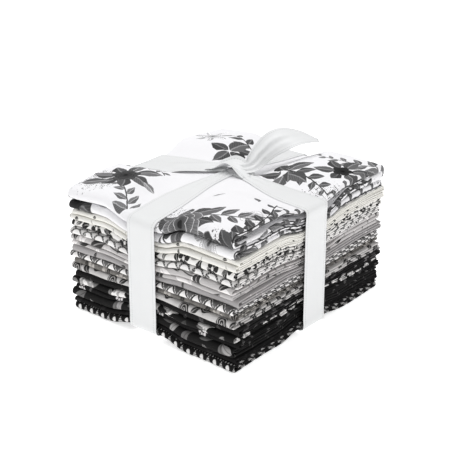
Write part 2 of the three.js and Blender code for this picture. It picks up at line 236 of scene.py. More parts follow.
def letter_fold(z, layer, gap, count):
    """The middle line of a strip folded in three, with one end inside the big fold at -Y."""
    pitch = layer + gap
    low, mid, high = (z + layer / 2 + i * pitch for i in range(3))
    big = -HALF["deep"] + layer / 2 + pitch
    small = HALF["deep"] - layer / 2 - pitch / 2
    end = HALF["deep"] - TOP_END_SHORT
    return np.concatenate([
        flat(big + FLAP_SHORT_OF_FOLD, small, mid, count),
        arc(small, (low + mid) / 2, pitch / 2, 90, -90, 10),
        flat(small, big, low, count),
        arc(big, mid, pitch, -90, -270, 16),
        flat(big, end, high, count),
        [[end, high]],
    ])


def spread(y):
    """How loose a turned piece's layers are at y: 0 over its turned-under end, and 1 well behind it."""
    return smooth((y - TURNED["tight_to"]) / (TURNED["loose_from"] - TURNED["tight_to"]))


def turned_layer(y, thick):
    """How thick a turned piece's layers are at y."""
    tight = thick * TURNED["layer"]
    loose = (thick - 2 * LAYER_GAP) / 3
    return mix(tight, loose, spread(y))


def turned_fold(z, thick, count):
    """The middle line of a piece folded back and forth, with the end of its top layer turned under."""

    def low(y):
        return z + turned_layer(y, thick) / 2

    def mid(y):
        return mix(low(y) + thick * TURNED["low_pitch"], z + thick / 2, spread(y))

    def high(y):
        return z + thick - turned_layer(y, thick) / 2

    front, back = -HALF["deep"], HALF["deep"]
    high_pitch = thick * TURNED["high_pitch"]
    low_radius = (mid(front) - low(front)) / 2
    back_radius = (high(back) - mid(back)) / 2
    start = back - TURNED["low_end_short"]
    low_fold = front + turned_layer(front, thick) / 2 + low_radius
    back_fold = back - turned_layer(back, thick) / 2 - back_radius
    roll = front + turned_layer(front, thick) / 2 + high_pitch / 2 - TURNED["overhang"]
    end = roll + TURNED["turned_under"]
    under_roll = high(front) - high_pitch
    return np.concatenate([
        flat(start, low_fold, low, count),
        arc(low_fold, (low(front) + mid(front)) / 2, low_radius, -90, -270, 12),
        flat(low_fold, back_fold, mid, count),
        arc(back_fold, (mid(back) + high(back)) / 2, back_radius, -90, 90, 16),
        flat(back_fold, roll, high, count),
        arc(roll, high(front) - high_pitch / 2, high_pitch / 2, 90, 270, 18),
        flat(roll, end, under_roll, count // 2),
        [[end, under_roll]],
    ])


def quarter_fold(ply, cloth_width, count):
    """The cloth across the strip, folded in four: places along X and offsets from the strip's middle."""
    outer, inner = 1.5 * ply, 0.5 * ply
    fold = HALF["wide"] - outer
    far_fold = inner - HALF["wide"]
    start = QUARTER_END_SHORT - HALF["wide"]
    end = start + max(0, 4 * FOLDED["wide"] - cloth_width)
    return np.concatenate([
        flat(start, fold, -outer, count),
        arc(fold, 0, outer, -90, 90, 10),
        flat(fold, far_fold, outer, count),
        arc(far_fold, ply, inner, 90, 270, 6),
        flat(far_fold, fold, inner, count),
        arc(fold, 0, inner, 90, -90, 6),
        flat(fold, end, -inner, count),
        [[end, -inner]],
    ])


def rimmed(values):
    """The rows or columns of a sheet with both raw edges turned back, so that each has a cut edge."""
    first, last = values[0], values[-1]
    step = RIM["back"] * np.sign([values[1] - first, values[-2] - last])
    return np.concatenate([[first + step[0], first], values, [last, last + step[1]]])


def unrolled_ends(along):
    """Distances along the cloth for the rows or columns that rimmed adds."""
    rim = np.array([RIM["back"] + CLOTH["thick"], CLOTH["thick"]])
    return np.concatenate([along[0] - rim, along, along[-1] + rim[::-1]])


def held_ends(values):
    """The values of the first and last point for the rows or columns that rimmed adds."""
    return np.pad(values, 2, mode="edge")


def rim_offset(count, rim):
    """How far each row or column is turned aside at the rims that rimmed adds."""
    offset = np.zeros(count)
    offset[[0, 1, -2, -1]] = rim
    return offset


def mesh_object(name, points, faces, prints=None):
    """A smooth mesh in metres. prints gives each point its place on the flat cloth in millimetres."""
    mesh = bpy.data.meshes.new(name)
    mesh.vertices.add(len(points))
    mesh.vertices.foreach_set("co", (points * MM).astype(np.float32).ravel())
    mesh.loops.add(faces.size)
    mesh.loops.foreach_set("vertex_index", faces.astype(np.int32).ravel())
    mesh.polygons.add(len(faces))
    mesh.polygons.foreach_set("loop_start", np.arange(0, faces.size, 4, dtype=np.int32))
    mesh.update(calc_edges=True)
    mesh.shade_smooth()
    if prints is not None:
        corner = np.empty(len(mesh.loops), np.int32)
        mesh.loops.foreach_get("vertex_index", corner)
        layer = mesh.uv_layers.new(name="cloth")
        layer.uv.foreach_set("vector", prints[corner].astype(np.float32).ravel())
    piece = bpy.data.objects.new(name, mesh)
    bpy.context.scene.collection.objects.link(piece)
    return piece


def grid_faces(rows, columns):
    here = (np.arange(rows - 1)[:, None] * columns + np.arange(columns - 1)).ravel()
    return np.stack([here, here + 1, here + columns + 1, here + columns], 1)


def shifted(piece, number, x, y, along, across):
    """Where a piece's points lie once its ends stand in or out, and are as uneven as cloth is."""
    near_x = np.clip((np.abs(x) - SHIFT_FROM["x"]) / SHIFT_REACH["x"], 0, 1)
    near_y = np.clip((np.abs(y) - SHIFT_FROM["y"]) / SHIFT_REACH["y"], 0, 1)
    out_x = np.where(x > 0, piece["right"], -piece["left"])
    out_y = np.where(y > 0, piece["back"], -piece["fold"])
    uneven_x = EDGE_WAVE["size"] * wave(along / EDGE_WAVE["length"], number)[:, None]
    uneven_x = uneven_x + PLY_WAVE["size"] * wave(across / PLY_WAVE["length"], number + 0.5)
    uneven_y = FOLD_WAVE["size"] * wave(x / FOLD_WAVE["length"], number + 0.3)
    return (
        x + near_x * (out_x + piece["skew"] * y / HALF["deep"] + uneven_x),
        y + near_y * (out_y - piece["skew"] * x / HALF["wide"] + uneven_y),
    )


def folded_cloth(name, piece, number, z):
    """One fat quarter: a sheet folded in four across and then folded along, as a single surface."""
    thick = piece["thick"] - PIECE_GAP
    is_turned = number in TURNED_PIECES
    gap = THIN_PIECE["layer_gap"] if piece["thick"] < THIN_PIECE["up_to"] else LAYER_GAP
    layer = thick * TURNED["layer"] if is_turned else (thick - 2 * gap) / 3
    count = STRETCH_POINTS["top piece" if number == 1 else "others"]
    line = turned_fold(z, thick, count) if is_turned else letter_fold(z, layer, gap, count)
    layers = turned_layer(line[:, 0], thick) if is_turned else np.full(len(line), layer)
    fuller = held_ends((layers - LAYER_AIR) / (layer - LAYER_AIR))
    ply = (layer - LAYER_AIR) / 3
    run = quarter_fold(ply, CLOTH["width"] if is_turned else CLOTH["length"], count)
    rim = min(CLOTH["thick"], RIM["most_of_ply"] * ply)
    along, across = (unrolled_ends(measured(each)) for each in (line, run))
    line_y, run_x = (rimmed(each[:, 0]) for each in (line, run))
    line_z, offset, side_y, side_z = map(held_ends, (line[:, 1], run[:, 1], *normals(line).T))
    from_middle = (offset + rim_offset(len(run_x), rim)) * (-1 if is_turned else 1)
    away = from_middle * fuller[:, None] + rim_offset(len(line_y), rim)[:, None]
    x = np.broadcast_to(run_x, away.shape)
    y = line_y[:, None] + away * side_y[:, None]
    height = line_z[:, None] + away * side_z[:, None]
    loose_x, loose_y = shifted(piece, number, x, y, along, across)
    points = np.stack(tied(loose_x, loose_y, height), -1).reshape(-1, 3)
    prints = np.stack(np.meshgrid(across, along), -1).reshape(-1, 2)
    cloth = mesh_object(name, points, grid_faces(len(line_y), len(run_x)), prints)
    return cloth, print_places(line, run)


def print_places(line, run):
    """On the flat cloth: the middle of the folded piece's outer ply, the place on top, and the -Y fold."""
    along, across = measured(line), measured(run)
    column, row = np.argmax(run[:, 1]), np.argmax(line[:, 1])
    middle = across[column] + run[column, 0]
    return {"middle": middle, "top": along[row] + line[row, 0], "fold": along[np.argmin(line[:, 0])]}


# Number formulas for the prints. Each step becomes a node.
class Number:
    """A number at every point of a surface. Arithmetic on it adds nodes to the material."""

    def __init__(self, tree, socket):
        self.tree = tree
        self.socket = socket

    def math(self, operation, *others):
        values = dict(enumerate((self, *others)))
        return outputs(self.tree, "Math", values, operation=operation)[0]

    __add__ = __radd__ = partialmethod(math, "ADD")
    __sub__ = partialmethod(math, "SUBTRACT")
    __rsub__ = partialmethod(math, "MULTIPLY_ADD", -1)
    __mul__ = __rmul__ = partialmethod(math, "MULTIPLY")
    __truediv__ = partialmethod(math, "DIVIDE")
    __abs__ = partialmethod(math, "ABSOLUTE")


def set_inputs(tree, node, values):
    """Gives a node its inputs, as links where they vary over the surface."""
    for name, value in values.items():
        if isinstance(value, Number):
            tree.links.new(value.socket, node.inputs[name])
        else:
            node.inputs[name].default_value = value


def outputs(tree, kind, values, **settings):
    """The outputs of a new node with those values on its inputs."""
    node = tree.nodes.new("ShaderNode" + kind)
    for name, setting in settings.items():
        setattr(node, name, setting)
    set_inputs(tree, node, values)
    return [Number(tree, output) for output in node.outputs]


def vector(x, y, z=0):
    return outputs(x.tree, "CombineXYZ", {"X": x, "Y": y, "Z": z})[0]


def noise(x, y, size, seed=0, detail=2):
    """Soft noise from 0 to 1 with lumps of about that size."""
    values = {"Vector": vector(x, y, seed * 37.1), "Scale": 1 / size, "Detail": detail}
    return outputs(x.tree, "TexNoise", values)[0]


def below(value, limit, soft=0.12):
    """1 where the value is below the limit, a number, and 0 above it."""
    values = {"Value": value, "From Min": limit - soft, "From Max": limit + soft, "To Min": 1, "To Max": 0}
    return outputs(value.tree, "MapRange", values, interpolation_type="SMOOTHSTEP")[0]


def blend(first, second, share):
    """first where the share is 0 and second where it is 1."""
    return first + (second - first) * share


def turned(x, y, angle):
    """x and y in axes turned by an angle in radians."""
    if isinstance(angle, Number):
        c, s = angle.math("COSINE"), angle.math("SINE")
    else:
        c, s = math.cos(angle), math.sin(angle)
    return x * c + y * s, y * c - x * s


def cells(x, y, wide, high, drop=0.5, seed=0):
    """Even cells with each next column dropped: place from a cell's middle, and three random numbers."""
    across = x / wide
    column = across.math("FLOOR")
    down = y / high + column * drop
    row = down.math("FLOOR")
    place = {"Vector": vector(column + 0.5, row + 0.5, seed + 0.5)}
    color = outputs(x.tree, "TexWhiteNoise", place, noise_dimensions="3D")[1]
    random = outputs(x.tree, "SeparateColor", {"Color": color})
    return (across - column - 0.5) * wide, (down - row - 0.5) * high, random


def polar(x, y):
    return (x * x + y * y).math("SQRT"), y.math("ARCTAN2", x)


def leaf(x, y, length, width, bend=0.0):
    """How far a point is outside a leaf from (0, 0) to (length, 0), and how far from its midrib."""
    along = x / length
    bow = along * (1 - along)
    middle = y - bow * (4 * bend)
    fuller = (1.35 - along * 0.7).math("MAXIMUM", 0.2)
    return abs(middle) - bow * fuller * (2 * width), middle


LEAF_SHADE = {"dark half": 0.85, "pale half": 0.5, "veins": 0.6, "rib": 2.2}


def leaf_shade(x, middle, width, pitch):
    """A leaf's own shade, about 1: one side darker, with a pale midrib and fine side veins."""
    fine = stripes((x - abs(middle) * 1.2) / pitch, 0.12, 0.08)
    rib = below(abs(middle), width * 0.04, width * 0.04)
    half = below(middle, 0, width * 0.1)
    shade = LEAF_SHADE["dark half"] + half * LEAF_SHADE["pale half"]
    return shade + fine * LEAF_SHADE["veins"] + rib * LEAF_SHADE["rib"]


def placed(x, y, at, degrees):
    return turned(x - at[0], y - at[1], math.radians(degrees))


def random_for(number, seed):
    """A random number from 0 to 1 for each whole number."""
    place = {"Vector": vector(number + 0.5, seed + 0.5)}
    return outputs(number.tree, "TexWhiteNoise", place, noise_dimensions="2D")[0]


# The motifs of the large print. Each is laid over a tone, at a place and turned by an angle in degrees.
def single_leaf(x, y, tone, ink, at, angle, length, width):
    x, y = placed(x, y, at, angle)
    outside, middle = leaf(x, y, length, width, 0.8)
    return blend(tone, leaf_shade(x, middle, width, 1.7) * ink, below(outside, 0))


def rosette(x, y, tone, ink, at, angle, reach, width, inner, count):
    """Leaves of uneven length all round a middle, from the inner radius out."""
    radius, turn = polar(*placed(x, y, at, angle))
    step = turn * (count / (2 * math.pi))
    number = step.math("FLOOR")
    own = (step - number - 0.5) * (2 * math.pi / count)
    random = random_for(number, at[0])
    length = random * (0.5 * (reach - inner)) + 0.65 * (reach - inner)
    along = radius * own.math("COSINE") - inner
    outside, middle = leaf(along, radius * own.math("SINE"), length, width, 1.1)
    shade = leaf_shade(along, middle, width, 1.9) * (random * 0.8 + 0.6) * ink
    return blend(tone, shade, below(outside, 0))


def spray(x, y, tone, ink, at, angle, length, bend, pitch, leaf_long, leaf_wide):
    """A bowed stem with leaves along both sides, smaller towards its tip."""
    x, y = placed(x, y, at, angle)
    along = x / length
    y = y - along * (1 - along) * (4 * bend)
    step = x / pitch + below(y, 0, 0.01) * 0.5
    number = step.math("FLOOR")
    taper = 1.15 - number * (0.7 * pitch / length)
    local = turned((step - number) * pitch, abs(y), math.radians(50))
    outside, middle = leaf(*local, taper * leaf_long, taper * leaf_wide, 0.3)
    shade = leaf_shade(local[0], middle, leaf_wide, 1.5) * ink
    within = below(abs(along - 0.5), 0.5, 0.002)
    tone = blend(tone, shade, below(outside, 0) * within)
    return blend(tone, ink * 0.5, below(abs(y), 0.4, 0.15) * within)


def bloom(x, y, tone, ink, at, angle, reach, rim, count):
    """A full flower: three rings of round petals with fine lines and rims, dark at the heart."""
    radius, turn = polar(*placed(x, y, at, angle))
    lines = abs((turn * (count * 4.5)).math("SINE")) * 0.45 + 0.75
    for size, ring_turn in ((1, 0), (0.7, 0.9), (0.4, 0.3)):
        lobes = abs(((turn + ring_turn) * (count / 2)).math("SINE"))
        edge = (lobes * 0.26 + 0.78) * (reach * size)
        shade = (radius / (reach * size)) * 0.9 + 0.3
        petal = shade * lines * (ink * (0.5 + size * 0.5))
        tone = blend(tone, blend(petal, rim, below(edge - radius, 0.35, 0.2)), below(radius - edge, 0))
    return blend(tone, ink * 0.15, below(radius, reach * 0.14))


def stipple(x, y, tone, ink, at, reach):
    """A ragged round of small dots."""
    dots_x, dots_y, random = cells(x, y, 1.3, 1.3)
    dot = below(polar(dots_x, dots_y)[0] - random[0] * 0.55, 0)
    ragged = polar(*placed(x, y, at, 0))[0] + random[1] * 7
    return blend(tone, ink, dot * below(ragged, reach, 2))


# The large print, by places on top of the bundle. Each row is a motif, its ink, its place and the rest
# of its function's numbers in their order, and lies over those before it.
GARDEN = {"wide": 140, "high": 178, "low_y": -98}
GARDEN_MOTIFS = [
    (stipple, 0.06, (-56, -58), 17),
    (stipple, 0.05, (6, -70), 18),
    (stipple, 0.08, (60, 18), 13),
    (stipple, 0.08, (56, -84), 15),
    (spray, 0.08, (68.5, -88), 90, 150, 0, 12, 9, 5),
    (single_leaf, 0.14, (-48, -86), 8, 19, 9),
    (single_leaf, 0.1, (-22, -88), -12, 13, 6),
    (bloom, 0.2, (-66, -84), 0, 8, 0.5, 5),
    (rosette, 0.42, (-52, 48), 10, 16, 3.6, 4, 7),
    (bloom, 0.75, (-52, 48), 0, 7, 0.28, 6),
    (bloom, 0.8, (58, -48), 0, 8, 0.3, 5),
    (spray, 0.1, (-68, -22), -8, 40, 4, 9, 12, 5),
    (spray, 0.14, (-20, -72), 150, 36, -4, 8, 10, 4.4),
    (spray, 0.11, (34, -64), 22, 40, 3, 10, 14, 6),
    (spray, 0.08, (24, 26), -12, 42, 4, 10, 13, 6.4),
    (spray, 0.12, (70, 70), 195, 44, 5, 9, 12, 5),
    (spray, 0.07, (-14, 46), 160, 32, -4, 10, 14, 7),
    (spray, 0.06, (66, -80), 100, 60, -5, 10, 13, 6),
    (rosette, 0.1, (-45, -46), 20, 23, 9, 5, 7),
    (rosette, 0.1, (27, -76), 0, 27, 10.5, 8, 8),
    (rosette, 0.08, (28, 24), 30, 20, 9, 3, 5),
    (rosette, 0.07, (56, 46), 0, 17, 8, 4, 6),
    (rosette, 0.07, (-26, 34), 45, 19, 10, 1, 4),
    (single_leaf, 0.12, (-64, -66), 30, 18, 9),
    (single_leaf, 0.22, (-30, -46), -14, 11, 4.6),
    (single_leaf, 0.2, (16, -34), 25, 9, 3.2),
    (single_leaf, 0.1, (40, -22), -40, 10, 3.6),
    (bloom, 0.07, (-45, -46), 10, 9, 0.02, 5),
    (bloom, 0.16, (27, -76), 30, 13.5, 0.7, 6),
    (bloom, 0.05, (50, -84), 0, 9, 0.3, 5),
    (bloom, 0.03, (56, 46), 0, 6, 0.02, 5),
]


def garden(x, y):
    """A large print of leaves, stems and flowers in greys on white."""
    x = x.math("WRAP", GARDEN["wide"] / 2, -GARDEN["wide"] / 2)
    y = y.math("WRAP", GARDEN["low_y"] + GARDEN["high"], GARDEN["low_y"])
    rough_x = x + noise(x, y, 3, 1) * 1.2
    rough_y = y + noise(x, y, 3, 2) * 1.2
    tone = noise(x, y, 30, 3) * 0.02 + 0.86
    for motif, *numbers in GARDEN_MOTIFS:
        tone = motif(rough_x, rough_y, tone, *numbers)
    return tone


def leaves(x, y, tone, ink, cell, length, width, seed, often=1.0):
    """A leaf at a random turn in that share of the cells, over a tone."""
    local_x, local_y, random = cells(x, y, cell[0], cell[1], 0.5, seed)
    local_x, local_y = turned(local_x, local_y, random[0] * 6.28)
    outside, middle = leaf(local_x + length / 2, local_y, length, width, width * 0.2)
    rib = below(abs(middle), width * 0.05, width * 0.05)
    shown = below(outside, 0) * below(random[1], often, 0.01)
    return blend(tone, blend(ink, tone, rib * 0.6), shown)


def flowers(x, y, tone, ink, heart, cell, count, reach, seed, often=1.0):
    """A flower of round petals in that share of the cells, over a tone."""
    local_x, local_y, random = cells(x, y, cell[0], cell[1], 0.5, seed)
    radius, angle = polar(local_x + random[1] * 1.5, local_y)
    angle = angle + random[0] * 6.28
    lobes = abs((angle * (count / 2)).math("SINE"))
    outside = radius - (lobes * 0.45 + 0.6) * reach
    gap = below(lobes, 0.25, 0.12) * below(reach * 0.3 - radius, 0, 0.2)
    petal = blend(ink * ((radius / reach) * 0.8 + 0.6), tone, gap * 0.6)
    shown = below(random[2], often, 0.01)
    tone = blend(tone, petal, below(outside, 0) * shown)
    return blend(tone, heart, below(radius, reach * 0.22) * shown)


def repeated(value, pitch):
    """The place within a repeat, from its middle."""
    return value.math("WRAP", pitch / 2, -pitch / 2)


def vine(x, y, tone, ink, pitch, swing, length, line):
    """Parallel waving stems along x."""
    row = repeated(y + (x * (2 * math.pi / length)).math("SINE") * swing, pitch)
    return blend(tone, ink, below(abs(row), line))


def stripes(value, half, soft):
    """1 in the middle of each whole step of a value, to that far on either side, and 0 between."""
    return below(abs(value.math("FRACT") - 0.5), half, soft)


def tiny_sprigs(x, y):
    tone = noise(x, y, 25, 4) * 0.02 + 0.84
    tone = leaves(x, y, tone, 0.42, (7, 6), 1.9, 0.6, 1, 0.5)
    return leaves(x, y, tone, 0.05, (17, 13), 3.2, 1.3, 2, 0.6)


def faint_sprigs(x, y):
    tone = noise(x, y, 25, 5) * 0.02 + 0.84
    tone = leaves(x, y, tone, 0.5, (9, 8), 3, 0.8, 3, 0.6)
    return leaves(x, y, tone, 0.04, (21, 14), 3.4, 1.6, 4, 0.6)


def black_blossoms(x, y):
    tone = noise(x, y, 12, 6) * 0.04 + 0.82
    tone = vine(x, y, tone, 0.03, 11, 2.2, 23, 0.28)
    tone = leaves(x, y, tone, 0.02, (9.5, 8), 7, 3.2, 5)
    tone = leaves(x + 4, y + 3, tone, 0.16, (12, 9), 7, 3, 6)
    return flowers(x, y, tone, 0.03, 0.75, (12, 9), 5, 4.3, 7, 0.8)


def scallops(x, y):
    """White half rounds in rows, each with a dark dotted arc round it."""
    radius, angle = polar(repeated(x, 10), repeated(y + 2.4, 9))
    dots = stripes(angle * 3.82, 0.32, 0.1)
    tone = noise(x, y, 20, 7) * 0.04 + 0.66
    tone = blend(tone, 0.04, below(abs(radius - 4.6), 0.55, 0.15) * (0.5 + dots * 0.5))
    tone = blend(tone, 0.86, below(radius, 3.9))
    return leaves(x, y, tone, 0.05, (5, 4.5), 2.4, 1.1, 31, 0.35)


def leaves_on_pale_grey(x, y):
    tone = noise(x, y, 9, 8) * 0.05 + 0.52
    tone = leaves(x + 8, y + 4, tone, 0.86, (23, 14), 16, 7, 9, 0.7)
    tone = vine(x, y, tone, 0.10, 26, 5, 61, 0.3)
    return leaves(x, y, tone, 0.05, (21, 14), 15, 5.5, 8, 0.75)


def sprigs_on_grey(x, y):
    tone = noise(x, y, 9, 9) * 0.04 + 0.37
    tone = leaves(x, y, tone, 0.04, (12, 8), 4, 1.7, 10, 0.7)
    return leaves(x + 5, y + 2, tone, 0.62, (17, 13), 4, 1.3, 11, 0.5)


def white_triangles(x, y):
    """Rows of white triangles with dotted lines over them, on taupe."""
    across, up = abs(repeated(x, 10)), repeated(y, 8.6)
    slope = across * 1.1 + up
    tone = noise(x, y, 3, 10, 0) * 0.16 + 0.06
    dots = stripes(across * 0.9, 0.28, 0.1)
    tone = blend(tone, 0.75, below(abs(slope - 4.3), 0.4, 0.15) * dots)
    tone = blend(tone, 0.02, below(abs(slope - 3.2), 0.4, 0.15))
    return blend(tone, 0.86, below(slope, 2.5) * below(0 - up, 2.2))


def mottled(x, y):
    tone = noise(x, y, 4, 11, 4) * 0.3 + 0.03
    tone = flowers(x, y, tone, 0.40, 0.03, (13, 11), 6, 4.2, 13, 0.7)
    return leaves(x + 5, y, tone, 0.04, (10, 8), 7, 2.8, 14)


def roses(x, y):
    tone = noise(x, y, 8, 12) * 0.2 + 0.48
    cell_x, cell_y, random = cells(x, y, 15, 10, 0.5, 15)
    radius, angle = polar(cell_x, cell_y)
    swirl = stripes(radius * 0.62 + angle * (1 / (2 * math.pi)) + random[0], 0.16, 0.08)
    rose = below(radius + (angle * 5).math("SINE") * 0.35, 4, 0.25)
    tone = leaves(x + 7, y + 3, tone, 0.04, (15, 10), 8, 3.6, 16, 0.8)
    return blend(tone, blend(0.03, 0.5, swirl), rose)


def black_and_grey(x, y):
    tone = noise(x, y, 5, 13) * 0.01 + 0.008
    tone = leaves(x, y, tone, 0.18, (18, 11), 13, 4.4, 17, 0.55)
    return leaves(x + 6, y + 5, tone, 0.07, (13, 9), 9, 3, 18, 0.6)


def bold(x, y):
    """Large white petals with grey shading, on black."""
    tone = noise(x, y, 9, 14) * 0.01 + 0.008
    tone = leaves(x + 5, y + 2, tone, 0.22, (15, 9), 9, 4, 19, 0.7)
    cell_x, cell_y, random = cells(x, y, 14, 9, 0.5, 32)
    radius, angle = polar(cell_x * 0.75, cell_y)
    outside = radius + ((angle + random[0] * 6.28) * 5).math("SINE") * 0.5 - 4.2
    shade = 0.86 - below(noise(x, y, 2.2, 33, 0), 0.42, 0.05) * 0.45
    return blend(tone, shade, below(outside, 0) * below(random[1], 0.72, 0.01))


def dot_clusters(x, y):
    """Little rings of white dots, far apart on black."""
    tone = noise(x, y, 6, 15) * 0.008 + 0.008
    cell_x, cell_y, random = cells(x, y, 17, 9, 0.5, 20)
    radius, angle = polar(cell_x, cell_y)
    own = ((angle * (5 / (2 * math.pi)) + random[0]).math("FRACT") - 0.5) * (2 * math.pi / 5)
    petal = below(polar(radius * own.math("COSINE") - 2.1, radius * own.math("SINE"))[0], 0.95, 0.15)
    shown = petal.math("MAXIMUM", below(radius, 0.7, 0.15)) * below(random[1], 0.7, 0.01)
    tone = leaves(x + 8, y + 3, tone, 0.1, (17, 9), 6, 2, 21, 0.5)
    return blend(tone, 0.72, shown)


def grey_leaves_on_black(x, y):
    tone = noise(x, y, 7, 16) * 0.01 + 0.009
    tone = vine(x, y, tone, 0.10, 15, 3, 39, 0.25)
    tone = leaves(x, y, tone, 0.16, (15, 10), 12, 4.6, 22, 0.85)
    return leaves(x + 7, y + 5, tone, 0.38, (22, 12), 10, 3.8, 23, 0.6)


def black_on_black(x, y):
    tone = noise(x, y, 6, 17) * 0.006 + 0.007
    tone = leaves(x, y, tone, 0.022, (11, 9), 7, 2.6, 24)
    return leaves(x, y, tone, 0.3, (26, 14), 3, 1.3, 34, 0.5)


def dots_and_tents(x, y):
    """White dots and small striped tents in turn, in rows on black."""
    tone = noise(x, y, 6, 18) * 0.006 + 0.008
    up = repeated(y, 9.6)
    dot = below(polar(repeated(x, 10.4), up)[0], 1.35, 0.15)
    tent_x = abs(repeated(x + 5.2, 10.4))
    tent = below(tent_x * 1.7 + up, 1.9, 0.15) * below(0 - up, 2.1, 0.12)
    rungs = stripes(up * 0.95, 0.24, 0.08)
    fleck_x, fleck_y, random = cells(x, y + 4.8, 2.1, 4.8, 0, 25)
    fleck = below(polar(fleck_x, fleck_y)[0] - random[0] * 0.6, 0)
    return blend(blend(blend(tone, 0.35, fleck), 0.55, tent * (0.3 + rungs * 0.7)), 0.78, dot)


# Each piece's print, how far right and up it is moved on the -Y fold, and its tint. The first print has
# its places on the top instead.
COTTONS = [
    (garden, 0, 0, (0.985, 0.98, 1)),
    (tiny_sprigs, 3, 0, (1, 0.985, 0.935)),
    (faint_sprigs, 7, 0, (1, 0.985, 0.94)),
    (black_blossoms, 2, 4, (1, 0.985, 0.965)),
    (scallops, 1, 0, (1, 0.985, 0.975)),
    (leaves_on_pale_grey, 12, 6, (1, 0.97, 0.965)),
    (sprigs_on_grey, 4, 4, (1, 0.965, 0.97)),
    (white_triangles, 2, 0, (1, 0.98, 0.975)),
    (mottled, 5, 8, (1, 0.95, 0.9)),
    (roses, 9, 5, (1, 0.975, 0.965)),
    (black_and_grey, 0, 3, (1, 0.96, 0.98)),
    (bold, 6, 4.5, (1, 0.98, 0.97)),
    (dot_clusters, 2, 4.5, (1, 0.97, 0.98)),
    (grey_leaves_on_black, 8, 5, (1, 0.975, 0.97)),
    (black_on_black, 3, 3, (1, 0.96, 0.98)),
    (dots_and_tents, 0, 0, (1, 0.985, 0.98)),
]
WEAVE = {"pitch": 0.42, "depth": 0.03}
COTTON = {"Roughness": 0.9, "Specular IOR Level": 0.1}


def new_material(name):
    material = bpy.data.materials.new(name)
    material.use_nodes = True
    return material, material.node_tree, material.node_tree.nodes["Principled BSDF"]


def cloth_place(tree):
    """The place on the flat cloth, in millimetres, as two numbers."""
    place = outputs(tree, "UVMap", {}, uv_map="cloth")[0]
    return outputs(tree, "SeparateXYZ", {"Vector": place})[:2]


def tinted(tone, tint):
    shares = {i: tone * share for i, share in enumerate(tint)}
    return outputs(tone.tree, "CombineColor", shares)[0]


def bump(height, depth):
    values = {"Strength": 1, "Distance": depth * MM, "Height": height}
    return outputs(height.tree, "Bump", values)[0]


def weave(x, y, pitch):
    """Threads over and under each other, from 0 to 1."""
    across, down = ((place * (math.pi / pitch)).math("SINE") for place in (x, y))
    check = across.math("SIGN") * down.math("SIGN")
    return blend(abs(across), abs(down), check * 0.5 + 0.5)


def cotton(number, places):
    material, tree, shader = new_material(f"printed_cotton_{number:02d}")
    pattern, right, up, tint = COTTONS[number - 1]
    u, v = cloth_place(tree)
    x = places["middle"] - u + right
    y = places["top"] - v if pattern is garden else v - places["fold"] + up
    slub = noise(u * 0.15, v, 0.5, 30) * 0.05 + 0.975
    color = tinted(pattern(x, y) * slub, tint)
    normal = bump(weave(u, v, WEAVE["pitch"]), WEAVE["depth"])
    set_inputs(tree, shader, {"Base Color": color, "Normal": normal, **COTTON})
    return material


# The ribbon's satin: its threads, the dotted line near each edge and the woven edge itself, in
# millimetres, how much darker these make its tone, and how far they stand up.
SATIN_LOOK = {"Roughness": 0.42, "Sheen Weight": 0.2, "Specular IOR Level": 0.45, "Anisotropic": 0.3}
SATIN = {"thread": 0.35, "stitch_in": 2.1, "stitch_long": 1.6, "stitch_half": 0.28, "selvage": 0.8}
SATIN_TONE = {"least": 0.775, "uneven": 0.03, "stitch": 0.2, "selvage": 0.03, "threads": 0.01}
SATIN_TINT = (0.985, 0.995, 1.0)
SATIN_BUMP = {"depth": 0.08, "threads": 0.35, "stitch": 0.6, "selvage": 0.4}


def satin():
    """White ribbon with a fine dotted line woven in near each edge. u is across and v along."""
    material, tree, shader = new_material("white_satin")
    u, v = cloth_place(tree)
    from_edge = (RIBBON["width"] / 2) - abs(u)
    line = below(abs(from_edge - SATIN["stitch_in"]), SATIN["stitch_half"], 0.15)
    stitch = line * stripes(v / SATIN["stitch_long"], 0.3, 0.08)
    selvage = below(from_edge, SATIN["selvage"], 0.2)
    threads = abs((v * (math.pi / SATIN["thread"])).math("SINE"))
    tone = noise(u, v, 14, 40) * SATIN_TONE["uneven"] + SATIN_TONE["least"]
    tone = tone * (1 - stitch * SATIN_TONE["stitch"] - selvage * SATIN_TONE["selvage"])
    tone = tone - threads * SATIN_TONE["threads"]
    height = threads * SATIN_BUMP["threads"] - stitch * SATIN_BUMP["stitch"]
    normal = bump(height + selvage * SATIN_BUMP["selvage"], SATIN_BUMP["depth"])
    set_inputs(tree, shader, {"Base Color": tinted(tone, SATIN_TINT), "Normal": normal, **SATIN_LOOK})
    return material


# A ribbon strip's columns lie closer towards its edges, the last two of them all but together, so that
# its rounded edge shades well. The edge itself is thinner.
STRIP = {"columns": 17, "crowded": 0.35, "beside_edge": 0.985, "edge_sharp": 12, "edge_thin": 0.02}


